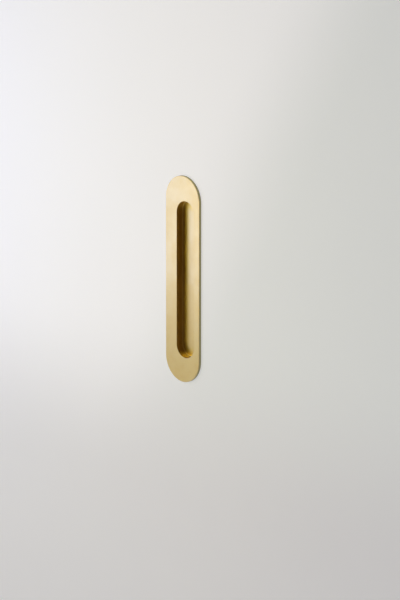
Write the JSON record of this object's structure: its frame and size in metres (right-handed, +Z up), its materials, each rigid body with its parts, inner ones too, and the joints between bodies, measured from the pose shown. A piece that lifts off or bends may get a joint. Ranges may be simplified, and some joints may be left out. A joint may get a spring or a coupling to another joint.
{
  "type": "pocket door pull",
  "caption": "Long round-ended flush pull in satin brass: a plain face plate with an upright finger recess, set off centre, and screw bosses behind.",
  "frame": {"origin": "centre of the seat, the plane where the plate's back meets the door, midway between the two screw holes", "axes": "+Z up along the plate, +Y into the door, the front face looks along -Y, +X towards the door's edge"},
  "size_m": [0.047, 0.01, 0.2],
  "materials": {
    "satin_brass": "satin, finely brushed along the length"
  },
  "bodies": {
    "root": {"pull_body": "satin_brass"}
  },
  "joints": []
}
